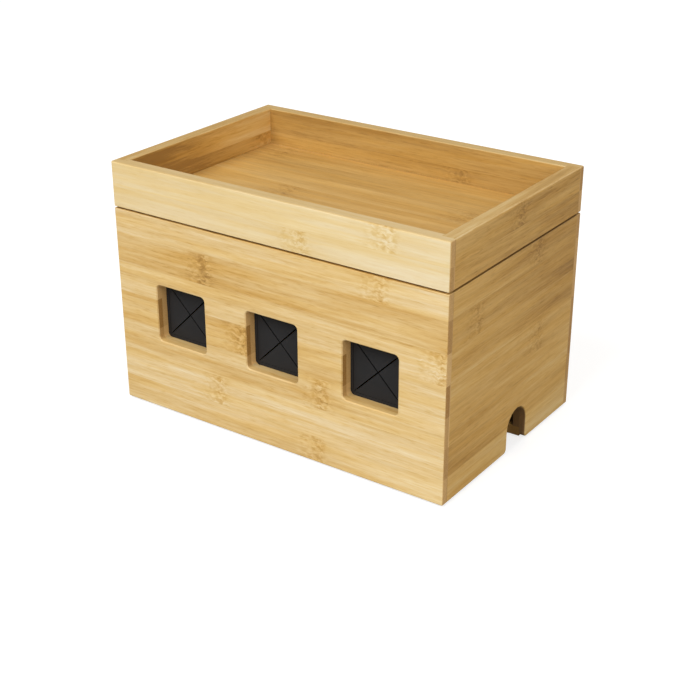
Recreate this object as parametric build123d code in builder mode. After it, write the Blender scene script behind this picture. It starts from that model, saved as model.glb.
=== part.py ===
from build123d import *
from math import cos, radians, sin
import os

# Cable management box: a bamboo box that hides a power strip, with a shallow lift-off tray for its lid.
# Millimetres. The front faces -Y, the right side is +X, and the feet stand on Z = 0.

# ---- Driving dimensions ------------------------------------------------------------------------------

# Box and boards
box_width = 240.0
box_depth = 155.0
body_height = 130.0  # bottom edge of the walls to the joint under the tray
wall = 8.5  # thickness of every wall board
corner_lip = 5.0  # what a front or back board leaves over the end of a side board
edge_ease = 1.0  # rounding of the outer edges
joint_ease = 0.4  # rounding of the outer edges along the joint under the tray
joint_gap = 1.2  # height of the groove that runs round the box under the tray's outer edge
joint_gap_depth = 3.0

# Bottom of the box
bottom_thickness = 6.0
bottom_rabbet = 4.5  # how far the bottom panel is let into the walls

# Tray
tray_height = 30.0
rim_ease = 0.8  # rounding of the tray's inner rim
floor_thickness = 4.0
floor_recess = 2.0  # underside of the tray walls up to the underside of its floor
groove_depth = 4.0
groove_play = 0.25  # between the floor's edge and the end of its groove
batten_width = 10.0
batten_drop = 7.0  # how far the battens reach down into the box
batten_play = 1.0  # between a batten and the walls of the box
batten_lead = 1.5  # bevel of a batten's lower outer edge

# Feet
foot_height = 1.5
foot_radius = 5.0
foot_inset = 16.0  # outside of the box to a foot's centre
foot_ease = 0.4

# Outlets in the front
outlet_names = ("left", "middle", "right")
outlet_size = 38.0
outlet_corner = 3.0
outlet_bevel = 0.6
outlet_pitch = 70.0
outlet_height = 67.0  # outlet centre above the bottom edge of the walls

# Rubber seals behind the outlets, slit into four flaps each
seal_thickness = 1.5
seal_overlap = 8.5  # seal's edge beyond the outlet, all round
seal_corner = 2.0
flap_reach = 16.0  # centre of the seal to the line that a flap bends about
flap_side_offset = 0.42  # flap's side edge to the diagonal of the cross slit, measured along the seal
flap_end_cut = 1.5  # taken off both ends of a flap's bending line
hinge_gap = 0.25  # between a flap's rounded base and the seal

# Screws that hold the seals
screw_radius = 1.1
screw_length = 7.0  # under the head
screw_point = 1.8
screw_head_radius = 2.2
screw_head_height = 1.4
screw_head_round = 0.7
screw_slot_width = 0.6
screw_slot_depth = 0.6
screw_slot_length = 3.0
screw_inset = 5.0  # seal's edge to a screw's centre
screw_play = 0.05  # radial, in the pilot hole and in the seal
pilot_spare = 0.5  # depth left beyond the screw's point

# Cable notches in the side walls
notch_width = 23.0
notch_height = 25.5
notch_from_front = 86.0  # front of the box to the notch's centre
notch_foot_round = 3.0  # rounding of the corners where a notch meets the bottom edge
notch_run_in = 12.0  # how far the bottom panel is cut back inside a notch

# ---- Derived places ----------------------------------------------------------------------------------

front, back = -1, 1
left, right = -1, 1

half_width = box_width / 2
half_depth = box_depth / 2
inner_half_width = half_width - wall
inner_half_depth = half_depth - wall

body_bottom = foot_height
body_top = body_bottom + body_height
tray_bottom = body_top
tray_edge_bottom = tray_bottom + joint_gap
tray_floor_bottom = tray_bottom + floor_recess

outlet_z = body_bottom + outlet_height
outlet_xs = [(index - (len(outlet_names) - 1) / 2) * outlet_pitch for index in range(len(outlet_names))]
seal_size = outlet_size + 2 * seal_overlap
seal_middle_y = -inner_half_depth + seal_thickness / 2
seal_back_y = -inner_half_depth + seal_thickness
flap_base_round = seal_thickness / 2
seal_window = 2 * (flap_reach + flap_base_round + hinge_gap)
screw_spread = seal_size - 2 * screw_inset
pilot_depth = screw_length - seal_thickness + pilot_spare

notch_y = notch_from_front - half_depth
notch_radius = notch_width / 2

os.makedirs("parts", exist_ok=True)


def save(part, name):
    """Labels a finished piece and writes its STEP file."""
    part.label = name
    export_step(part, f"parts/{name}.step")


# ---- Boards ------------------------------------------------------------------------------------------

with BuildPart() as joint_groove:
    with BuildSketch(Plane.XY.offset(tray_bottom)):
        Rectangle(box_width, box_depth)
        Rectangle(box_width - 2 * joint_gap_depth, box_depth - 2 * joint_gap_depth, mode=Mode.SUBTRACT)
    extrude(amount=joint_gap)


def is_outermost(edge):
    """True for an edge in an outer face of the box or in the rounding between two of them."""
    return abs(edge.center().X) > half_width - edge_ease or abs(edge.center().Y) > half_depth - edge_ease


def end_board(facing, bottom, height, joint_level, seat_depth, seat_bottom, seat_height, groove=None):
    """Front or back board: rabbeted at both ends, with a seat cut inside for a horizontal panel."""
    outer_y = facing * half_depth
    lip_y = facing * (half_depth - corner_lip)
    inner_y = facing * inner_half_depth
    with BuildPart() as board:
        with BuildSketch(Plane.XY.offset(bottom)):
            with BuildLine():
                Polyline(
                    (-half_width, outer_y),
                    (half_width, outer_y),
                    (half_width, lip_y),
                    (inner_half_width, lip_y),
                    (inner_half_width, inner_y),
                    (-inner_half_width, inner_y),
                    (-inner_half_width, lip_y),
                    (-half_width, lip_y),
                    close=True,
                )
            make_face()
        extrude(amount=height)
        if groove:
            add(groove, mode=Mode.SUBTRACT)
        outer_face = board.faces().sort_by(Axis.Y, reverse=facing == back)[0]
        left_end, right_end = board.faces().sort_by(Axis.X)[0], board.faces().sort_by(Axis.X)[-1]
        outline = outer_face.edges() + (left_end.edges() + right_end.edges()).filter_by(Axis.Y)
        fillet([edge for edge in outline if abs(edge.center().Z - joint_level) > edge_ease], radius=edge_ease)
        at_joint = board.edges().filter_by_position(Axis.Z, joint_level, joint_level)
        fillet(at_joint.filter_by(is_outermost), radius=joint_ease)
        with BuildSketch(Plane.XY.offset(seat_bottom)):
            Rectangle(2 * (inner_half_width + seat_depth), 2 * (inner_half_depth + seat_depth))
        extrude(amount=seat_height, mode=Mode.SUBTRACT)
    return board.part


def side_board(
    facing, bottom, height, joint_level, seat_depth, seat_bottom, seat_height, notched=False, groove=None
):
    """Left or right board: its ends go into the rabbets of the front and back boards."""
    board_length = box_depth - 2 * corner_lip
    with BuildPart() as board:
        with BuildSketch(Plane.XY.offset(bottom)):
            with Locations((facing * (half_width - wall / 2), 0)):
                Rectangle(wall, board_length)
        extrude(amount=height)
        if groove:
            add(groove, mode=Mode.SUBTRACT)
        if notched:
            with BuildSketch(Plane.YZ.offset(facing * half_width)):
                with Locations((notch_y, bottom + notch_height - notch_radius)):
                    Circle(notch_radius)
                with Locations((notch_y, bottom)):
                    Rectangle(notch_width, notch_height - notch_radius, align=(Align.CENTER, Align.MIN))
            extrude(amount=-facing * wall, mode=Mode.SUBTRACT)
            lower_corners = board.edges().filter_by(Axis.X).group_by(Axis.Z)[0].sort_by(Axis.Y)
            fillet(lower_corners[1:-1], radius=notch_foot_round)
        outer_face = board.faces().sort_by(Axis.X, reverse=facing == right)[0]
        eased = [edge for edge in outer_face.edges() if abs(edge.center().Y) < board_length / 2 - edge_ease]
        fillet([edge for edge in eased if abs(edge.center().Z - joint_level) > edge_ease], radius=edge_ease)
        at_joint = board.edges().filter_by_position(Axis.Z, joint_level, joint_level)
        fillet(at_joint.filter_by(is_outermost), radius=joint_ease)
        with BuildSketch(Plane.XY.offset(seat_bottom)):
            Rectangle(2 * (inner_half_width + seat_depth), 2 * (inner_half_depth + seat_depth))
        extrude(amount=seat_height, mode=Mode.SUBTRACT)
    return board.part


# ---- Walls of the box --------------------------------------------------------------------------------

body_seat = (body_top, bottom_rabbet, body_bottom, bottom_thickness)
screw_spots = [
    (x + side * screw_spread / 2, outlet_z + level * screw_spread / 2)
    for x in outlet_xs
    for side in (left, right)
    for level in (-1, 1)
]

front_blank = end_board(front, body_bottom, body_height, *body_seat)
with BuildPart() as front_panel:
    add(front_blank)
    with BuildSketch(Plane.XZ.offset(half_depth)):
        with Locations(*[(x, outlet_z) for x in outlet_xs]):
            RectangleRounded(outlet_size, outlet_size, outlet_corner)
    extrude(amount=-wall, mode=Mode.SUBTRACT)
    outer_face = front_panel.faces().sort_by(Axis.Y)[0]
    chamfer(outer_face.inner_wires().edges(), length=outlet_bevel)
    with BuildSketch(Plane.XZ.offset(inner_half_depth)):
        with Locations(*screw_spots):
            Circle(screw_radius + screw_play)
    extrude(amount=pilot_depth, mode=Mode.SUBTRACT)
save(front_panel.part, "front_panel")

back_blank = end_board(back, body_bottom, body_height, *body_seat)
with BuildPart() as back_panel:
    add(back_blank)
save(back_panel.part, "back_panel")

for name, facing in (("left_panel", left), ("right_panel", right)):
    blank = side_board(facing, body_bottom, body_height, *body_seat, notched=True)
    with BuildPart() as side_panel:
        add(blank)
    save(side_panel.part, name)

# ---- Bottom ------------------------------------------------------------------------------------------

with BuildPart() as bottom_panel:
    with BuildSketch(Plane.XY.offset(body_bottom)):
        Rectangle(2 * (inner_half_width + bottom_rabbet), 2 * (inner_half_depth + bottom_rabbet))
        for side in (left, right):
            run_in_centre = side * (inner_half_width - notch_run_in + notch_radius)
            run_in_length = bottom_rabbet + notch_run_in - notch_radius
            with Locations((run_in_centre, notch_y)):
                Circle(notch_radius, mode=Mode.SUBTRACT)
            with Locations((run_in_centre + side * run_in_length / 2, notch_y)):
                Rectangle(run_in_length, notch_width, mode=Mode.SUBTRACT)
    extrude(amount=bottom_thickness)
save(bottom_panel.part, "bottom_panel")

for y_name, y_side in (("front", front), ("back", back)):
    for x_name, x_side in (("left", left), ("right", right)):
        with BuildPart() as foot:
            with BuildSketch():
                with Locations((x_side * (half_width - foot_inset), y_side * (half_depth - foot_inset))):
                    Circle(foot_radius)
            extrude(amount=foot_height)
            fillet(foot.edges().group_by(Axis.Z)[0], radius=foot_ease)
        save(foot.part, f"foot_{y_name}_{x_name}")

# ---- Seals and their flaps ---------------------------------------------------------------------------

for outlet, x in zip(outlet_names, outlet_xs):
    with BuildPart() as seal:
        with BuildSketch(Plane.XZ.offset(inner_half_depth)):
            with Locations((x, outlet_z)):
                RectangleRounded(seal_size, seal_size, seal_corner)
                Rectangle(seal_window, seal_window, mode=Mode.SUBTRACT)
                with GridLocations(screw_spread, screw_spread, 2, 2):
                    Circle(screw_radius + screw_play, mode=Mode.SUBTRACT)
        extrude(amount=-seal_thickness)
    save(seal.part, f"outlet_seal_{outlet}")

flap_turns = {"top": 0, "left": 90, "bottom": 180, "right": 270}  # degrees, seen from the front
flap_half_base = flap_reach - flap_end_cut
flap_side_height = flap_half_base + flap_side_offset

for outlet, x in zip(outlet_names, outlet_xs):
    for edge, turn in flap_turns.items():
        # Seen from the front, the flap's own up direction points from the seal's centre to its bending line.
        turned_x = (cos(radians(turn)), 0, sin(radians(turn)))
        sheet = Plane(origin=(x, seal_middle_y, outlet_z), x_dir=turned_x, z_dir=(0, -1, 0))
        base_end = sheet.from_local_coords(Vector(-flap_half_base, flap_reach, 0))
        with BuildPart() as flap:
            with BuildSketch(sheet):
                with BuildLine():
                    Polyline(
                        (0, flap_side_offset),
                        (flap_half_base, flap_side_height),
                        (flap_half_base, flap_reach),
                        (-flap_half_base, flap_reach),
                        (-flap_half_base, flap_side_height),
                        close=True,
                    )
                make_face()
            extrude(amount=seal_thickness / 2, both=True)
            with BuildSketch(Plane(origin=base_end, z_dir=turned_x)):
                Circle(flap_base_round)
            extrude(amount=2 * flap_half_base)
        save(flap.part, f"{outlet}_flap_{edge}")

# ---- Seal screws -------------------------------------------------------------------------------------

with BuildPart() as screw:
    with BuildSketch():
        with BuildLine():
            Polyline(
                (0, -screw_length),
                (screw_radius, -screw_length + screw_point),
                (screw_radius, 0),
                (screw_head_radius, 0),
                (screw_head_radius, screw_head_height),
                (0, screw_head_height),
                close=True,
            )
        make_face()
    revolve(axis=Axis.Y)
    fillet(screw.edges().filter_by(GeomType.CIRCLE).sort_by(Axis.Y)[-1], radius=screw_head_round)
    with BuildSketch(Plane.XZ.offset(-screw_head_height)):
        Rectangle(screw_slot_length, screw_slot_width)
        Rectangle(screw_slot_width, screw_slot_length)
    extrude(amount=screw_slot_depth, mode=Mode.SUBTRACT)

with BuildPart() as seal_screws:
    with Locations(*[(x, seal_back_y, z) for x, z in screw_spots]):
        add(screw.part)
save(seal_screws.part, "seal_screws")

# ---- Tray --------------------------------------------------------------------------------------------

tray_seat = (tray_edge_bottom, groove_depth, tray_floor_bottom, floor_thickness)

for name, facing in (("tray_front", front), ("tray_back", back)):
    blank = end_board(facing, tray_bottom, tray_height, *tray_seat, groove=joint_groove.part)
    with BuildPart() as tray_end:
        add(blank)
        inner_face = tray_end.faces().filter_by(Axis.Y).sort_by(Axis.Y, reverse=facing == front)[0]
        fillet(inner_face.edges().sort_by(Axis.Z)[-1], radius=rim_ease)
    save(tray_end.part, name)

for name, facing in (("tray_left", left), ("tray_right", right)):
    blank = side_board(facing, tray_bottom, tray_height, *tray_seat, groove=joint_groove.part)
    inner_rim = Plane(
        origin=(facing * inner_half_width, -inner_half_depth, tray_bottom + tray_height),
        x_dir=(facing, 0, 0),
        z_dir=(0, 1, 0),
    )
    with BuildPart() as tray_side:
        add(blank)
        with BuildSketch(inner_rim):
            with Locations((rim_ease / 2, facing * rim_ease / 2)):
                Rectangle(rim_ease, rim_ease)
            with Locations((rim_ease, facing * rim_ease)):
                Circle(rim_ease, mode=Mode.SUBTRACT)
        extrude(amount=2 * inner_half_depth, mode=Mode.SUBTRACT)
    save(tray_side.part, name)

with BuildPart() as tray_floor:
    with BuildSketch(Plane.XY.offset(tray_floor_bottom)):
        floor_spread = 2 * (groove_depth - groove_play)
        Rectangle(2 * inner_half_width + floor_spread, 2 * inner_half_depth + floor_spread)
    extrude(amount=floor_thickness)
save(tray_floor.part, "tray_floor")

# ---- Battens under the tray --------------------------------------------------------------------------

batten_bottom = tray_bottom - batten_drop
batten_height = floor_recess + batten_drop
batten_ring_x = inner_half_width - batten_play
batten_ring_y = inner_half_depth - batten_play

for name, facing in (("tray_batten_front", front), ("tray_batten_back", back)):
    with BuildPart() as batten:
        with BuildSketch(Plane.XY.offset(batten_bottom)):
            with Locations((0, facing * (batten_ring_y - batten_width / 2))):
                Rectangle(2 * batten_ring_x, batten_width)
        extrude(amount=batten_height)
        outer_face = batten.faces().sort_by(Axis.Y, reverse=facing == back)[0]
        chamfer(outer_face.edges().sort_by(Axis.Z)[0], length=batten_lead)
    save(batten.part, name)

for name, facing in (("tray_batten_left", left), ("tray_batten_right", right)):
    with BuildPart() as batten:
        with BuildSketch(Plane.XY.offset(batten_bottom)):
            with Locations((facing * (batten_ring_x - batten_width / 2), 0)):
                Rectangle(batten_width, 2 * (batten_ring_y - batten_width))
        extrude(amount=batten_height)
        outer_face = batten.faces().sort_by(Axis.X, reverse=facing == right)[0]
        chamfer(outer_face.edges().sort_by(Axis.Z)[0], length=batten_lead)
    save(batten.part, name)
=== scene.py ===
from math import cos, radians, sin

import bpy
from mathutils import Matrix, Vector


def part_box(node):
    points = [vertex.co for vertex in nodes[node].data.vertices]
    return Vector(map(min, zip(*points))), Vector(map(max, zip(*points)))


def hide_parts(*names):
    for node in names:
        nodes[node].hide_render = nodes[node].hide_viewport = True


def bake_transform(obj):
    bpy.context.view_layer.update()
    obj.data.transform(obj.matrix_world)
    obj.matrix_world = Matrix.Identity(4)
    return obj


# A bamboo cable management box with a lift-off tray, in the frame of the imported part: the front faces -Y,
# the right side is +X and the feet stand on Z = 0. The stage is in metres, the bamboo and the flaps in mm.

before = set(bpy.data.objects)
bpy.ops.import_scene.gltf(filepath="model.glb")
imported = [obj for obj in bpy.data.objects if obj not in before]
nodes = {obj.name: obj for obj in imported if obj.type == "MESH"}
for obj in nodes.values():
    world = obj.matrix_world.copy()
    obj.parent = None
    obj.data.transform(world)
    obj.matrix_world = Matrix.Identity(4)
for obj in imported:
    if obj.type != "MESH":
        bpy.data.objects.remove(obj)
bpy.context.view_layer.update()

MM = 0.001
WHITE = (1.0, 1.0, 1.0, 1.0)


def extent(node, axis):
    """A CAD node's lowest and highest coordinate along an axis, in mm."""
    index = "XYZ".index(axis)
    return [round(corner[index] / MM, 3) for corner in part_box(node)]


def middle(node, axis):
    """The middle of a CAD node along an axis, in mm."""
    return sum(extent(node, axis)) / 2


# ---- Camera --------------------------------------------------------------------------------------------

CAMERA_AZIMUTH = radians(34.78)
CAMERA_ELEVATION = radians(25.54)
CAMERA_DISTANCE = 0.8741
CAMERA_TARGET = Vector((0.0027, 0.0, 0.0374))
CAMERA_LENS = 70.19
SENSOR_WIDTH = 36.0

view_direction = Vector((
    -sin(CAMERA_AZIMUTH) * cos(CAMERA_ELEVATION),
    cos(CAMERA_AZIMUTH) * cos(CAMERA_ELEVATION),
    -sin(CAMERA_ELEVATION),
))
camera_data = bpy.data.cameras.new("camera")
camera_data.lens = CAMERA_LENS
camera_data.sensor_width = SENSOR_WIDTH
camera_data.clip_start = 0.05
camera_data.clip_end = 100.0
camera = bpy.data.objects.new("camera", camera_data)
camera.location = CAMERA_TARGET - CAMERA_DISTANCE * view_direction
camera.rotation_euler = view_direction.to_track_quat("-Z", "Y").to_euler()
bpy.context.scene.collection.objects.link(camera)
bpy.context.scene.camera = camera
bpy.context.scene.view_settings.view_transform = "Standard"
bpy.context.scene.view_settings.look = "None"

# ---- Shader graphs -------------------------------------------------------------------------------------


class Graph:
    """The nodes of a material or of the world, added one at a time."""

    def __init__(self, owner):
        self.owner = owner
        owner.use_nodes = True
        self.tree = owner.node_tree
        self.tree.nodes.clear()

    def node(self, kind, inputs=(), **settings):
        """A node with its settings, and its inputs linked or set by name or index."""
        made = self.tree.nodes.new(kind)
        for key, value in settings.items():
            setattr(made, key, value)
        for key, value in dict(inputs).items():
            self.feed(made.inputs[key], value)
        return made

    def feed(self, socket, value):
        """Links a socket to another, or sets it."""
        if isinstance(value, bpy.types.NodeSocket):
            self.tree.links.new(value, socket)
        else:
            socket.default_value = value

    def math(self, operation, *values):
        made = self.node("ShaderNodeMath", operation=operation)
        for socket, value in zip(made.inputs, values):
            self.feed(socket, value)
        return made.outputs[0]

    def span(self, value, low, high, to_low=0.0, to_high=1.0):
        """value's place between low and high, smoothed, from to_low to to_high."""
        made = self.node(
            "ShaderNodeMapRange",
            {"Value": value, "From Min": low, "From Max": high, "To Min": to_low, "To Max": to_high},
            interpolation_type="SMOOTHSTEP",
        )
        return made.outputs["Result"]

    def vary(self, value, noise, amount):
        """value, changed by a noise that lies round 0.5."""
        return self.math("MULTIPLY_ADD", self.math("SUBTRACT", noise, 0.5), amount, value)

    def vector(self, x, y, z):
        return self.node("ShaderNodeCombineXYZ", {"X": x, "Y": y, "Z": z}).outputs[0]

    def noise(self, vector, scale=1.0, detail=2.0, roughness=0.5):
        inputs = {"Vector": vector, "Scale": scale, "Detail": detail, "Roughness": roughness}
        return self.node("ShaderNodeTexNoise", inputs).outputs["Fac"]

    def dice(self, seed):
        """White noise, as one Value and as a Color of three."""
        return self.node("ShaderNodeTexWhiteNoise", {"W": seed}, noise_dimensions="1D").outputs

    def mix(self, factor, first, second, blend="MIX"):
        """One colour from two."""
        made = self.node("ShaderNodeMix", data_type="RGBA", blend_type=blend)
        self.feed(made.inputs["Factor"], factor)
        colour_inputs = [socket for socket in made.inputs if socket.type == "RGBA"]
        self.feed(colour_inputs[0], first)
        self.feed(colour_inputs[1], second)
        return next(socket for socket in made.outputs if socket.type == "RGBA")

    def ramp(self, value, stops):
        """A colour between (place, colour) stops."""
        made = self.node("ShaderNodeValToRGB", {"Fac": value})
        elements = made.color_ramp.elements
        elements[0].position, elements[0].color = stops[0]
        elements[1].position, elements[1].color = stops[-1]
        for position, colour in stops[1:-1]:
            elements.new(position).color = colour
        return made.outputs["Color"]

    def finish(self, colour, roughness, normal=None, **settings):
        """Ends a material's graph in a Principled shader, and returns the material."""
        shader = self.node("ShaderNodeBsdfPrincipled", {"Base Color": colour, "Roughness": roughness})
        for key, value in settings.items():
            shader.inputs[key.replace("_", " ")].default_value = value
        if normal is not None:
            self.feed(shader.inputs["Normal"], normal)
        self.node("ShaderNodeOutputMaterial", {"Surface": shader.outputs[0]})
        return self.owner


def new_graph(name):
    """The graph of a new material."""
    return Graph(bpy.data.materials.new(name))


def dress(node, material):
    """Gives a CAD node its material."""
    mesh = nodes[node].data
    mesh.materials.clear()
    mesh.materials.append(material)


# ---- Light and floor -----------------------------------------------------------------------------------

LIGHT_SIZE = 1.5
NEUTRAL_LIGHT = (1.0, 1.0, 1.0)
WARM_LIGHT = (1.0, 0.965, 0.90)
AMBIENT_COLOUR = (1.0, 0.99, 0.97, 1.0)
AMBIENT_STRENGTH = 0.38
FLOOR_HALF = 40.0
FLOOR_GREYS = ((0.40, 0.40, 0.40, 1.0), (0.42, 0.42, 0.42, 1.0))
FLOOR_CLOUD_SCALE = 3.0
FLOOR_ROUGHNESS = 0.9
FLOOR_GLOW = 0.74  # added to the lit floor for the camera alone, so that it shows white


def area_light(name, place, target, power, colour=NEUTRAL_LIGHT):
    """A soft square light that faces its target."""
    data = bpy.data.lights.new(name, "AREA")
    data.shape = "SQUARE"
    data.size = LIGHT_SIZE
    data.energy = power
    data.color = colour
    light = bpy.data.objects.new(name, data)
    light.location = place
    light.rotation_euler = (Vector(target) - Vector(place)).to_track_quat("-Z", "Y").to_euler()
    bpy.context.scene.collection.objects.link(light)


def studio_world():
    """Soft light from all sides, and a backdrop that is white to the camera alone."""
    world = bpy.data.worlds.new("studio")
    bpy.context.scene.world = world
    graph = Graph(world)
    ambient = graph.node("ShaderNodeBackground", {"Color": AMBIENT_COLOUR, "Strength": AMBIENT_STRENGTH})
    backdrop = graph.node("ShaderNodeBackground", {"Color": WHITE})
    seen = graph.node("ShaderNodeLightPath").outputs["Is Camera Ray"]
    either = graph.node("ShaderNodeMixShader", {0: seen, 1: ambient.outputs[0], 2: backdrop.outputs[0]})
    graph.node("ShaderNodeOutputWorld", {"Surface": either.outputs[0]})


def floor_material():
    """A grey floor that shows white, as a lit sweep does."""
    graph = new_graph("floor_pale")
    cloud = graph.noise(graph.node("ShaderNodeTexCoord").outputs["Object"], FLOOR_CLOUD_SCALE)
    seen = graph.node("ShaderNodeLightPath").outputs["Is Camera Ray"]
    shader = graph.node("ShaderNodeBsdfPrincipled", {
        "Base Color": graph.mix(cloud, *FLOOR_GREYS),
        "Roughness": FLOOR_ROUGHNESS,
        "Emission Color": WHITE,
        "Emission Strength": graph.math("MULTIPLY", seen, FLOOR_GLOW),
    })
    graph.node("ShaderNodeOutputMaterial", {"Surface": shader.outputs[0]})
    return graph.owner


area_light("key_light", place=(-0.35, -1.9, 2.1), target=(0.0, 0.0, 0.06), power=59.5)
area_light("fill_light", place=(2.0, -1.0, 1.2), target=(0.0, 0.0, 0.10), power=19.5, colour=WARM_LIGHT)
area_light("back_light", place=(0.6, 2.4, 1.2), target=(0.0, 0.0, 0.10), power=14.0)
studio_world()

floor_corners = [(x * FLOOR_HALF, y * FLOOR_HALF, 0.0) for x, y in ((-1, -1), (1, -1), (1, 1), (-1, 1))]
floor_mesh = bpy.data.meshes.new("floor")
floor_mesh.from_pydata(floor_corners, [], [(0, 1, 2, 3)])
floor_mesh.materials.append(floor_material())
floor = bpy.data.objects.new("floor", floor_mesh)
bpy.context.scene.collection.objects.link(floor)

# ---- Bamboo --------------------------------------------------------------------------------------------

# The face's colour at each tone, from 0, pale, to 1, brown
BAMBOO_RAMP = (
    (0.00, (0.88, 0.74, 0.50, 1.0)),
    (0.15, (0.82, 0.635, 0.35, 1.0)),
    (0.40, (0.73, 0.51, 0.215, 1.0)),
    (0.62, (0.63, 0.385, 0.12, 1.0)),
    (0.83, (0.49, 0.28, 0.075, 1.0)),
    (1.00, (0.34, 0.18, 0.045, 1.0)),
)

# The palest and the darkest colour of end grain. On the boards whose end grain shows only in the cable
# notches it is darker: painted shade inside the notches, with some router burn.
SANDED_ENDS = ((0.76, 0.49, 0.20, 1.0), (0.35, 0.165, 0.033, 1.0))
BURNT_AND_SHADED_ENDS = ((0.26, 0.145, 0.055, 1.0), (0.16, 0.085, 0.03, 1.0))

# The tints of a face's coolest and warmest patches, and the tint of a board's edges, which is partly their
# own duller tone and partly painted shade that darkens the rims' tops
TINTS = ((1.0, 1.02, 1.10, 1.0), (1.0, 0.965, 0.86, 1.0))
SUNNY_TINTS = ((1.02, 1.01, 0.98, 1.0), (1.02, 0.965, 0.79, 1.0))
PALE_TINTS = ((0.98, 1.03, 1.13, 1.0), (0.98, 0.98, 0.90, 1.0))
EDGE_TINT_AND_SHADE = (0.81, 0.81, 0.81, 1.0)

# Marks along the grain: length and width in mm, and detail
BROAD = (130.0, 8.0, 2.0)
STREAK = (50.0, 2.4, 2.0)
FIBRE = (17.0, 1.0, 2.0)
HAIR = (5.0, 0.25, 1.0)
DASH = (9.0, 0.8, 1.0)
WARM_PATCH = (90.0, 5.0, 2.0)

# How much each thing changes the tone
BROAD_TONE = 0.56
STREAK_TONE = 0.38
FIBRE_TONE = 0.34
HAIR_TONE = 0.16
DASH_TONE = 0.13
STRIP_TONE = 0.08
STAIN_TONE = 0.08
GLUE_TONE = 0.035
PLY_TONE = 0.12
JOINT_SHADE_TONE = 0.30
SEAM_SHADE_TONE = 0.25

# The levels of a noise at which a mark begins and is full
DASH_LEVELS = (0.56, 0.74)
WARM_LEVELS = (0.35, 0.65)
SPECKLE_LEVELS = (0.28, 0.72)

# Strips, which each take their grain from another place, in mm
SHIFT_ALONG = 900.0
SHIFT_ACROSS = 40.0
GLUE_HALF_WIDTH = 0.5
STRIP_BLUR = 0.11  # how far one strip's tone runs into the next, as a share of the strip
FACE_BLUR = 0.36  # the same for the tones of one face
SEAM_CORE = 0.3  # the share of a seam's width that is fully dark

# Knuckles: sizes and depths in mm, and the scales of the noises that bend them in waves per mm
RING_HALF_WIDTH = 5.5
SIDE_RING_GAP = 10.0
SIDE_RING_SHARE = 0.45
STAIN_REACH = 16.0
WOBBLE_DEPTH = 7.0
WOBBLE_SCALE_ALONG = 0.05
WOBBLE_SCALE_ACROSS = 0.28
PUCKER_DEPTH = 5.0
PUCKER_DEPTH_ELSEWHERE = 0.4
PUCKER_SCALE_ALONG = 0.30
PUCKER_SCALE_ACROSS = 0.40
SPECKLE_LENGTH = 3.4
SPECKLE_WIDTH = 1.6
SPECKLE_DETAIL = 1.5
SPECKLE_SHARES = (-0.45, 1.0)  # of a ring's tone, at its palest and at its brownest speckle

# The normal's share along the axis through a board, from a face's to an edge's. It ends early so that
# rounded edges take the edges' tone, which on the tray's front is painted shade over the highlight of its
# rounded top edge.
EDGE_FACING = (0.97, 0.70)

# The normal's share along the strips, from a side's to an end's
END_FACING = (0.6, 0.9)

# Edges and end grain, in mm and waves per mm
SHADE_FADE_DEPTH = 7.5
PLY_SEED = 57.0  # sets the dice of the two plies apart
END_BASE_TONE = 0.3
END_PLY_TONE = 0.5
END_DOT_TONE = 0.9
END_DOT_SCALE = 1.7
END_DOT_ROUGHNESS = 0.7
END_DOT_SLIMNESS = 0.1  # a dot's width as a share of its length, which runs into the board

# Surface
BAMBOO_GLOSS = 0.30
BAMBOO_ROUGHNESS = 0.42
FIBRE_ROUGHNESS = 0.16
STREAK_HEIGHT = 0.5  # as a share of a fibre's height
RING_HEIGHT = -0.5
BAMBOO_BUMP = {"Strength": 0.06, "Distance": 0.2 * MM}


def on_strip(graph, number, strip_number):
    """1 on one strip and 0 on the others."""
    return graph.math("COMPARE", number, float(strip_number), 0.5)


def round_strip(graph, place, strip_number, blur):
    """1 on one strip, fading to 0 across its borders."""
    from_middle = graph.math("ABSOLUTE", graph.math("SUBTRACT", place, strip_number + 0.5))
    return graph.span(from_middle, 0.5 + blur, 0.5 - blur)


def knuckle_marks(graph, knuckles, number, far, wide, deep):
    """The knuckles' rings, each with a fainter one beside it, and the stains that fade along the strips."""
    wobble_place = graph.vector(
        graph.math("MULTIPLY", far, WOBBLE_SCALE_ALONG),
        graph.math("MULTIPLY", wide, WOBBLE_SCALE_ACROSS),
        deep,
    )
    wobble = graph.math("MULTIPLY_ADD", graph.noise(wobble_place), WOBBLE_DEPTH, -WOBBLE_DEPTH / 2)
    rings, stain = 0.0, 0.0
    for strip_number, knuckle_place in knuckles:
        here = on_strip(graph, number, strip_number)
        away = graph.math("SUBTRACT", graph.math("ADD", far, wobble), knuckle_place)
        for ring_place, share in ((0.0, 1.0), (-SIDE_RING_GAP, SIDE_RING_SHARE)):
            shifted = graph.math("SUBTRACT", away, ring_place)
            squared = graph.math("MULTIPLY", shifted, shifted)
            bell = graph.math("EXPONENT", graph.math("DIVIDE", squared, -RING_HALF_WIDTH**2))
            rings = graph.math("MULTIPLY_ADD", graph.math("MULTIPLY", here, share), bell, rings)
        fading = graph.math("EXPONENT", graph.math("DIVIDE", graph.math("ABSOLUTE", away), -STAIN_REACH))
        stain = graph.math("MULTIPLY_ADD", here, fading, stain)
    return rings, stain


def puckered(graph, rings, far, wide, deep):
    """The place across the strips, bent as the fibres are, most of all round a knuckle."""
    pucker_place = graph.vector(
        graph.math("MULTIPLY", far, PUCKER_SCALE_ALONG),
        graph.math("MULTIPLY", wide, PUCKER_SCALE_ACROSS),
        deep,
    )
    pucker_depth = graph.math("MULTIPLY_ADD", rings, PUCKER_DEPTH, PUCKER_DEPTH_ELSEWHERE)
    return graph.vary(wide, graph.noise(pucker_place), pucker_depth)


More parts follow.
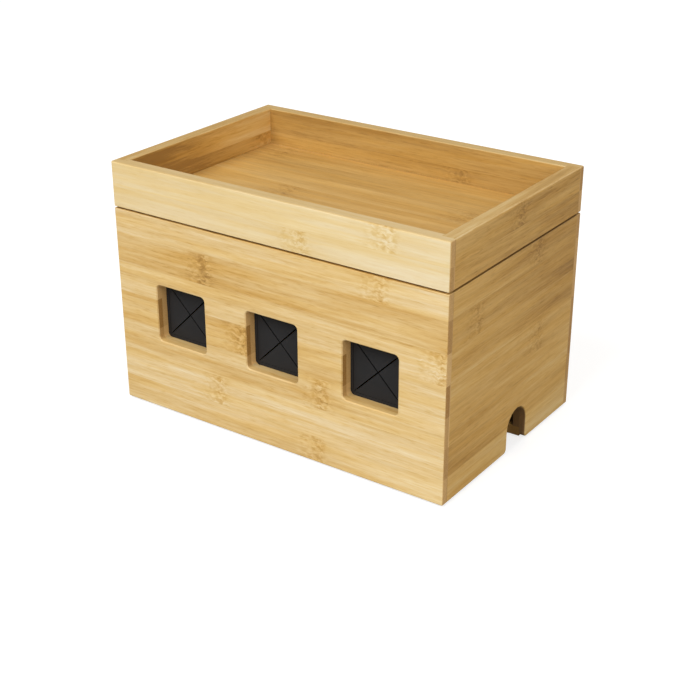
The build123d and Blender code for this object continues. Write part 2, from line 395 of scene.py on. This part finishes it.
def end_grain(graph, ply_tones, ends, number, ply, ply_noise, far, wide, deep):
    """The colour of a board's ends, which show fibre ends instead of fibres."""
    dot_place = graph.vector(graph.math("MULTIPLY", far, END_DOT_SLIMNESS), wide, deep)
    dots = graph.noise(dot_place, END_DOT_SCALE, roughness=END_DOT_ROUGHNESS)
    tone = graph.math("MULTIPLY_ADD", ply_noise, END_PLY_TONE, END_BASE_TONE)
    tone = graph.vary(tone, dots, END_DOT_TONE)
    for strip_number, low_change, high_change in ply_tones:
        change = graph.math("MULTIPLY_ADD", ply, high_change - low_change, low_change)
        tone = graph.math("MULTIPLY_ADD", on_strip(graph, number, strip_number), change, tone)
    return graph.mix(tone, *ends)


def bamboo(node, along, across, strip, offset, tone, seed, knuckles=(), strip_tones=(), drift=None,
           contrast=1.0, edge_tone=0.0, edge_shade_fade=0.0, ring_tone=0.24, joint_shade=None, shade_seams=(), face_tones=(),
           ply_tones=(), tints=TINTS, ends=SANDED_ENDS):
    """Gives a board two-ply flat-pressed bamboo: strips that run along one axis, side by side across it.

    Places are coordinates in mm, and changes are of the tone. Strip 0 begins at offset.
    strip        a strip's width
    knuckles     (strip number, place along it)
    strip_tones  (strip number, change at its low end, change at its high end)
    drift        (from, to, change) along all strips
    contrast     the grain's strength
    edge_tone    the change on the board's edges
    edge_shade_fade  how far the edges look like the faces, from 0 to 1, where they meet the outer one;
    deeper in they keep the edges' tone: painted shade in the outlets
    ring_tone    the change on a knuckle's rings
    joint_shade  (from, to) across the strips, between which the board turns browner: painted shade in the
    gap under the tray shade_seams  (axis, place, width) of dark lines where another board meets this one:
    painted shade
    face_tones   (strip number, from, to, change at from, change at to) on the face on the higher side
    ply_tones    (strip number, change, change) of the ends, in the ply on the lower and on the higher side
    tints        of the coolest and the warmest patches
    ends         the palest and the darkest colour of the end grain
    """
    graph = new_graph("bamboo_" + node)
    coordinates = graph.node("ShaderNodeTexCoord")
    parts = graph.node("ShaderNodeSeparateXYZ", {0: coordinates.outputs["Object"]})
    facing = graph.node("ShaderNodeSeparateXYZ", {0: coordinates.outputs["Normal"]})
    through = ({"X", "Y", "Z"} - {along, across}).pop()
    far, wide, deep = (graph.math("DIVIDE", parts.outputs[axis], MM) for axis in (along, across, through))

    # Strips and knuckles
    place = graph.math("DIVIDE", graph.math("SUBTRACT", wide, offset), strip)
    number = graph.math("FLOOR", place)
    throw = graph.node("ShaderNodeSeparateColor", {0: graph.dice(graph.math("ADD", number, seed))["Color"]})
    grain_far = graph.math("MULTIPLY_ADD", throw.outputs[0], SHIFT_ALONG, far)
    grain_wide = graph.math("MULTIPLY_ADD", number, SHIFT_ACROSS, wide)
    rings, stain = knuckle_marks(graph, knuckles, number, far, grain_wide, deep)
    bent_wide = puckered(graph, rings, grain_far, grain_wide, deep)

    def stretched(length, width, detail):
        """Noise whose marks are drawn out along the strip."""
        vector = graph.vector(
            graph.math("DIVIDE", grain_far, length),
            graph.math("DIVIDE", bent_wide, width),
            graph.math("DIVIDE", deep, width),
        )
        return graph.noise(vector, detail=detail)

    # Tone of the faces
    brown = graph.vary(tone, throw.outputs[1], STRIP_TONE)
    for strip_number, *changes in strip_tones:
        here = round_strip(graph, place, strip_number, STRIP_BLUR)
        change = graph.span(far, *extent(node, along), *changes)
        brown = graph.math("MULTIPLY_ADD", here, change, brown)
    if drift:
        start, end, change = drift
        brown = graph.math("ADD", brown, graph.span(far, start, end, 0.0, change))
    for strip_number, *changes in face_tones:
        here = round_strip(graph, place, strip_number, FACE_BLUR)
        on_face = graph.span(facing.outputs[through], *reversed(EDGE_FACING))
        change = graph.span(far, *changes)
        brown = graph.math("MULTIPLY_ADD", graph.math("MULTIPLY", here, on_face), change, brown)

    # Grain
    streak, fibre = stretched(*STREAK), stretched(*FIBRE)
    brown = graph.vary(brown, stretched(*BROAD), BROAD_TONE * contrast)
    brown = graph.vary(brown, streak, STREAK_TONE * contrast)
    brown = graph.vary(brown, fibre, FIBRE_TONE * contrast)
    brown = graph.vary(brown, stretched(*HAIR), HAIR_TONE * contrast)
    dashes = graph.span(stretched(*DASH), *DASH_LEVELS)
    brown = graph.math("MULTIPLY_ADD", dashes, DASH_TONE * contrast, brown)

    # Speckled rings and their stains
    speckle_place = graph.vector(
        graph.math("DIVIDE", grain_far, SPECKLE_LENGTH),
        graph.math("DIVIDE", bent_wide, SPECKLE_WIDTH),
        deep,
    )
    speckle = graph.noise(speckle_place, detail=SPECKLE_DETAIL)
    mottle = graph.math("MULTIPLY", rings, graph.span(speckle, *SPECKLE_LEVELS, *SPECKLE_SHARES))
    brown = graph.math("MULTIPLY_ADD", mottle, ring_tone, brown)
    brown = graph.math("MULTIPLY_ADD", stain, STAIN_TONE, brown)

    # Glue lines between the strips
    within = graph.math("FRACT", place)
    from_glue = graph.math("MINIMUM", within, graph.math("SUBTRACT", 1.0, within))
    brown = graph.math("ADD", brown, graph.span(from_glue, 0.0, GLUE_HALF_WIDTH / strip, GLUE_TONE, 0.0))

    # The two plies show on a board's edges and ends
    ply = graph.math("GREATER_THAN", deep, middle(node, through))
    ply_seed = graph.math("MULTIPLY_ADD", ply, PLY_SEED, graph.math("ADD", number, seed + 0.5))
    ply_noise = graph.dice(ply_seed)["Value"]
    on_edge = graph.span(graph.math("ABSOLUTE", facing.outputs[through]), *EDGE_FACING)
    # Painted shade: deeper in the board the edges take their own darker tone, as in the outlets' recesses
    if edge_shade_fade:
        outside = max(abs(face) for face in extent(node, through))
        from_middle = graph.math("ABSOLUTE", deep)
        shaded_share = graph.span(from_middle, outside - SHADE_FADE_DEPTH, outside, 1.0, 1.0 - edge_shade_fade)
        on_edge = graph.math("MULTIPLY", on_edge, shaded_share)
    edge_change = graph.math("MULTIPLY_ADD", ply_noise, PLY_TONE, edge_tone - PLY_TONE / 2)
    brown = graph.math("MULTIPLY_ADD", on_edge, edge_change, brown)

    # Painted shade where other boards meet this one
    if joint_shade:
        brown = graph.math("MULTIPLY_ADD", graph.span(wide, *joint_shade), JOINT_SHADE_TONE, brown)
    for axis, seam_place, width in shade_seams:
        away = graph.math("SUBTRACT", {along: far, across: wide, through: deep}[axis], seam_place)
        dark = graph.span(graph.math("ABSOLUTE", away), width * SEAM_CORE, width, SEAM_SHADE_TONE, 0.0)
        brown = graph.math("ADD", brown, dark)

    # Colour
    warmth = graph.span(stretched(*WARM_PATCH), *WARM_LEVELS)
    tint = graph.mix(on_edge, graph.mix(warmth, *tints), EDGE_TINT_AND_SHADE)
    face_colour = graph.mix(1.0, graph.ramp(brown, BAMBOO_RAMP), tint, "MULTIPLY")
    on_end = graph.span(graph.math("ABSOLUTE", facing.outputs[along]), *END_FACING)
    end_colour = end_grain(graph, ply_tones, ends, number, ply, ply_noise, far, wide, deep)
    colour = graph.mix(on_end, face_colour, end_colour)

    # Surface
    rough = graph.math("MULTIPLY_ADD", fibre, FIBRE_ROUGHNESS, BAMBOO_ROUGHNESS)
    height = graph.math("MULTIPLY_ADD", streak, STREAK_HEIGHT, fibre)
    height = graph.math("MULTIPLY_ADD", mottle, RING_HEIGHT, height)
    bump = graph.node("ShaderNodeBump", {**BAMBOO_BUMP, "Height": height})
    dress(node, graph.finish(colour, rough, bump.outputs[0], Specular_IOR_Level=BAMBOO_GLOSS))


TRAY_BOTTOM = extent("tray_front", "Z")[0]
TRAY_ENDS = extent("tray_back", "X")
BODY_STRIP = 19.5
LOWEST_STRIP_CUT = 2.5  # what the boards' lower edge cuts off their lowest strip
BODY_OFFSET = extent("front_panel", "Z")[0] - LOWEST_STRIP_CUT
TRAY_STRIP = 15.0
FLOOR_STRIP = 21.0
TRAY_FLOOR_OFFSET = 4.0
BATTEN_STRIP = 30.0
HIDDEN_TONE = 0.51

# The box's rim and the groove that runs round under the tray's walls are browner than the rest: painted
# shade of the gap between box and tray
GROOVE_HEIGHT = 1.2
JOINT_SHADE_FADE = (0.15, 0.02)  # the distances from them at which the change begins and ends
BODY_JOINT_SHADE = [TRAY_BOTTOM - distance for distance in JOINT_SHADE_FADE]
TRAY_JOINT_SHADE = [TRAY_BOTTOM + GROOVE_HEIGHT + distance for distance in JOINT_SHADE_FADE]

# The tray's walls meet its floor in dark lines of painted shade
SEAM_WIDTH = 0.8
FLOOR_SHADE_SEAMS = [
    ("X", extent("tray_left", "X")[1], SEAM_WIDTH),
    ("X", extent("tray_right", "X")[0], SEAM_WIDTH),
    ("Y", extent("tray_front", "Y")[1], SEAM_WIDTH),
    ("Y", extent("tray_back", "Y")[0], SEAM_WIDTH),
]

bamboo(
    "front_panel", "X", "Z", BODY_STRIP, BODY_OFFSET, tone=0.42, seed=3.0, contrast=1.15, ring_tone=0.30,
    knuckles=[(0, 33.0), (1, -40.0), (2, 37.0), (3, -22.0), (4, 117.0), (5, -50.0), (6, 77.0)],
    strip_tones=[(0, -0.08, -0.13), (1, -0.16, -0.15), (2, 0.01, -0.06), (3, 0.07, -0.03),
                 (4, -0.02, -0.11), (5, 0.13, 0.18), (6, -0.12, -0.08)],
    drift=(40.0, 120.0, -0.08), edge_tone=0.08, edge_shade_fade=0.9, joint_shade=BODY_JOINT_SHADE,
    ply_tones=[(6, -0.12, -0.12), (5, 0.33, -0.10), (4, -0.50, -0.40), (3, 0.17, -0.24), (2, -0.27, -0.40)],
)
bamboo(
    "back_panel", "X", "Z", BODY_STRIP, BODY_OFFSET, tone=0.49, seed=17.0, joint_shade=BODY_JOINT_SHADE,
    knuckles=[(0, -80.0), (1, 62.0), (2, -15.0), (3, 96.0), (4, -66.0), (5, 20.0), (6, -104.0)],
    strip_tones=[(0, 0.10, 0.02), (2, -0.10, 0.0), (3, 0.04, 0.14), (5, -0.10, -0.02)],
)
bamboo(
    "left_panel", "Y", "Z", BODY_STRIP, BODY_OFFSET, tone=0.54, seed=29.0, joint_shade=BODY_JOINT_SHADE,
    knuckles=[(1, -52.0), (3, 12.0), (4, 60.0), (6, -20.0)],
    strip_tones=[(1, 0.10, 0.0), (4, -0.06, -0.12), (5, 0.02, 0.10)], ends=BURNT_AND_SHADED_ENDS,
)
bamboo(
    "right_panel", "Y", "Z", BODY_STRIP, BODY_OFFSET, tone=0.655, seed=41.0, contrast=0.85, ring_tone=0.17,
    knuckles=[(6, 25.0), (5, -44.0), (3, 31.0)],
    # These strip tones are partly the strips' own and partly painted light: the lower strips paler as if
    # lit from the floor, the upper ones darker towards the back
    strip_tones=[(0, -0.14, -0.24), (1, 0.07, -0.13), (2, 0.06, -0.11), (3, -0.07, -0.06),
                 (4, 0.0, 0.17), (5, 0.01, 0.15), (6, -0.05, 0.15)],
    joint_shade=BODY_JOINT_SHADE, tints=SUNNY_TINTS, ends=BURNT_AND_SHADED_ENDS,
)
bamboo(
    "bottom_panel", "X", "Y", FLOOR_STRIP, 0.0, tone=HIDDEN_TONE, seed=53.0, edge_tone=0.60,
    knuckles=[(-3, 40.0), (-1, -70.0), (1, 15.0), (2, 90.0)], ends=BURNT_AND_SHADED_ENDS,
)
bamboo(
    "tray_front", "X", "Z", TRAY_STRIP, TRAY_BOTTOM, tone=0.19, seed=61.0, contrast=0.52, ring_tone=0.31,
    knuckles=[(0, 23.0), (1, 81.0)], strip_tones=[(0, 0.11, -0.01), (1, 0.03, -0.06)], edge_tone=0.18,
    joint_shade=TRAY_JOINT_SHADE, tints=PALE_TINTS,
)
bamboo(
    "tray_back", "X", "Z", TRAY_STRIP, TRAY_BOTTOM, tone=0.87, seed=67.0, contrast=0.6, ring_tone=0.15,
    knuckles=[(0, 42.0)], strip_tones=[(0, -0.13, -0.12), (1, 0.05, -0.06)], edge_tone=-0.40,
    face_tones=[(0, *TRAY_ENDS, -0.22, -0.12), (1, *TRAY_ENDS, -0.22, -0.12)],
    joint_shade=TRAY_JOINT_SHADE, tints=PALE_TINTS,
)
bamboo(
    "tray_left", "Y", "Z", TRAY_STRIP, TRAY_BOTTOM, tone=0.58, seed=71.0, ring_tone=0.18,
    knuckles=[(0, 62.0)], edge_tone=-0.12,
    # face_tones paint the shadow of the tray's front wall on the inner face: browner towards the front,
    # furthest back near the floor
    face_tones=[(0, 62.0, -20.0, -0.08, 0.46), (1, 52.0, -56.0, -0.15, 0.46)],
    joint_shade=TRAY_JOINT_SHADE, tints=SUNNY_TINTS,
)
bamboo(
    "tray_right", "Y", "Z", TRAY_STRIP, TRAY_BOTTOM, tone=0.64, seed=79.0, ring_tone=0.20,
    knuckles=[(1, 1.0)], strip_tones=[(0, 0.02, 0.08), (1, 0.0, -0.05)], drift=(-70.0, 60.0, 0.18),
    edge_tone=-0.24, joint_shade=TRAY_JOINT_SHADE, tints=SUNNY_TINTS,
)
bamboo(
    "tray_floor", "X", "Y", FLOOR_STRIP, TRAY_FLOOR_OFFSET, tone=0.72, seed=83.0, contrast=0.62,
    knuckles=[(-3, 60.0), (-1, -40.0), (0, 75.0), (2, -88.0)], ring_tone=0.13, shade_seams=FLOOR_SHADE_SEAMS,
)
for index, side in enumerate(("front", "back")):
    bamboo(f"tray_batten_{side}", "X", "Y", BATTEN_STRIP, 0.0, tone=HIDDEN_TONE, seed=89.0 + index)
for index, side in enumerate(("left", "right")):
    bamboo(f"tray_batten_{side}", "Y", "X", BATTEN_STRIP, 0.0, tone=HIDDEN_TONE, seed=97.0 + index)

# ---- Rubber and steel ----------------------------------------------------------------------------------

DUST_SCALE = 90.0
DUST_ROUGHNESS = 0.15
MOULD_GRAIN_SCALE = 2600.0
RUBBER_BUMP = {"Strength": 0.15, "Distance": 0.1 * MM}
RUBBER_GLOSS = 0.20
CUT_MARK = "cut"  # the face attribute that marks the edges of the slits, and is 0 on other meshes
# painted shade: the slits' walls are near black, as the shade inside a slit
SLIT_SHADE_COLOUR = (0.003, 0.003, 0.003, 1.0)
CUT_ROUGHNESS = 0.30
ZINC_GREYS = ((0.52, 0.52, 0.50, 1.0), (0.68, 0.68, 0.66, 1.0))
ZINC_CLOUD_SCALE = 700.0
ZINC_CLOUD_ROUGHNESS = 0.2
ZINC_ROUGHNESS = 0.28
CLOUD_DETAIL = 3.0


def rubber(name, dark, light, roughness):
    """Matt rubber with a faint moulded grain and a little dust. A slit's edges are painted near black as
    the shade inside the slit, and are duller.
    """
    graph = new_graph(name)
    place = graph.node("ShaderNodeTexCoord").outputs["Object"]
    dust = graph.noise(place, DUST_SCALE, CLOUD_DETAIL)
    on_cut = graph.node("ShaderNodeAttribute", attribute_name=CUT_MARK).outputs["Fac"]
    colour = graph.mix(on_cut, graph.mix(dust, dark, light), SLIT_SHADE_COLOUR)
    rough = graph.math("MULTIPLY_ADD", dust, DUST_ROUGHNESS, roughness)
    rough = graph.math("MULTIPLY_ADD", on_cut, CUT_ROUGHNESS, rough)
    bump = graph.node("ShaderNodeBump", {**RUBBER_BUMP, "Height": graph.noise(place, MOULD_GRAIN_SCALE)})
    return graph.finish(colour, rough, bump.outputs[0], Specular_IOR_Level=RUBBER_GLOSS)


def zinc():
    """Zinc-plated steel, a little clouded."""
    graph = new_graph("zinc_plated_steel")
    place = graph.node("ShaderNodeTexCoord").outputs["Object"]
    cloud = graph.noise(place, ZINC_CLOUD_SCALE, CLOUD_DETAIL)
    rough = graph.math("MULTIPLY_ADD", cloud, ZINC_CLOUD_ROUGHNESS, ZINC_ROUGHNESS)
    return graph.finish(graph.mix(cloud, *ZINC_GREYS), rough, Metallic=1.0)


seal_rubber = rubber("seal_rubber", (0.0165, 0.0165, 0.0175, 1.0), (0.024, 0.024, 0.0255, 1.0), 0.60)
foot_rubber = rubber("foot_rubber", (0.030, 0.030, 0.030, 1.0), (0.045, 0.045, 0.044, 1.0), 0.65)
for node in nodes:
    if node.startswith("outlet_seal"):
        dress(node, seal_rubber)
    if node.startswith("foot_"):
        dress(node, foot_rubber)
dress("seal_screws", zinc())

# ---- Flaps ---------------------------------------------------------------------------------------------

# Each flap is one sheet with its seal: it reaches the seal's window and bends there, between two slits that
# close towards their ends. Lengths run from the outlet's middle, up to the flap's root or across the flap.
OUTLETS = {side: middle(f"outlet_seal_{side}", "X") for side in ("left", "middle", "right")}
OUTLET_HEIGHT = middle("outlet_seal_middle", "Z")
SHEET_FRONT, SHEET_BACK = extent("outlet_seal_middle", "Y")
FLAP_TURNS = {"top": 0, "left": 90, "bottom": 180, "right": 270}
SEAL_WINDOW = 16.75
SLIT_HALF = 0.50  # measured across
SLIT_TAPER_START = 12.0
SLIT_END = 16.4
SLIT_EASE = 0.18
CUT_SHARES = {0: 1.0, 1: 0.5}  # by the number of faces from the middle of a slit's edge
SHARP_ANGLE = radians(30)
FLAP_COLUMNS = 12

# Rows across the sheet, from the flap's tip to the seal's window, and closest together where it bends
FLAP_ROWS = (
    [0.6, 1.2]
    + [2.0 + step for step in range(11)]
    + [12.5 + 0.25 * step for step in range(17)]
    + [SEAL_WINDOW]
)


def flap_sheet(outlet, edge):
    """A flap's visible sheet, continued to the seal."""
    turn = radians(FLAP_TURNS[edge])

    def spot(across, up, y):
        return (
            (OUTLETS[outlet] + across * cos(turn) - up * sin(turn)) * MM,
            y * MM,
            (OUTLET_HEIGHT + across * sin(turn) + up * cos(turn)) * MM,
        )

    # A row runs along the front, over one edge, back along the back and over the other edge
    vertices = []
    for up in FLAP_ROWS:
        closing = min(max((SLIT_END - up) / (SLIT_END - SLIT_TAPER_START), 0.0), 1.0)
        slit = SLIT_HALF * closing**0.5
        reach = up - slit
        ease = min(SLIT_EASE, slit, reach / 3)
        flat = [(reach - ease) * (2 * column / FLAP_COLUMNS - 1) for column in range(FLAP_COLUMNS + 1)]
        vertices += [spot(across, up, SHEET_FRONT) for across in flat]
        vertices += [spot(reach, up, SHEET_FRONT + ease), spot(reach, up, SHEET_BACK - ease)]
        vertices += [spot(across, up, SHEET_BACK) for across in reversed(flat)]
        vertices += [spot(-reach, up, SHEET_BACK - ease), spot(-reach, up, SHEET_FRONT + ease)]

    halfway = FLAP_COLUMNS + 3
    around = 2 * halfway
    faces, cut = [], []
    for row in range(len(FLAP_ROWS) - 1):
        for step in range(around):
            here, beside = row * around + step, row * around + (step + 1) % around
            faces.append((here, beside, beside + around, here + around))
            from_edge = abs(step % halfway - FLAP_COLUMNS - 1)
            cut.append(CUT_SHARES.get(from_edge, 0.0))
    faces.append(tuple(reversed(range(around))))
    faces.append(tuple(range(len(vertices) - around, len(vertices))))
    cut += [0.0, 0.0]

    mesh = bpy.data.meshes.new(f"{outlet}_membrane_{edge}")
    mesh.from_pydata(vertices, [], faces)
    mesh.attributes.new(CUT_MARK, "FLOAT", "FACE").data.foreach_set("value", cut)
    for face in mesh.polygons:
        face.use_smooth = True
    mesh.set_sharp_from_angle(angle=SHARP_ANGLE)
    mesh.materials.append(seal_rubber)
    piece = bpy.data.objects.new(mesh.name, mesh)
    bpy.context.scene.collection.objects.link(piece)
    flap = f"{outlet}_flap_{edge}"
    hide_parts(flap)
    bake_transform(piece)


for outlet in OUTLETS:
    for edge in FLAP_TURNS:
        flap_sheet(outlet, edge)
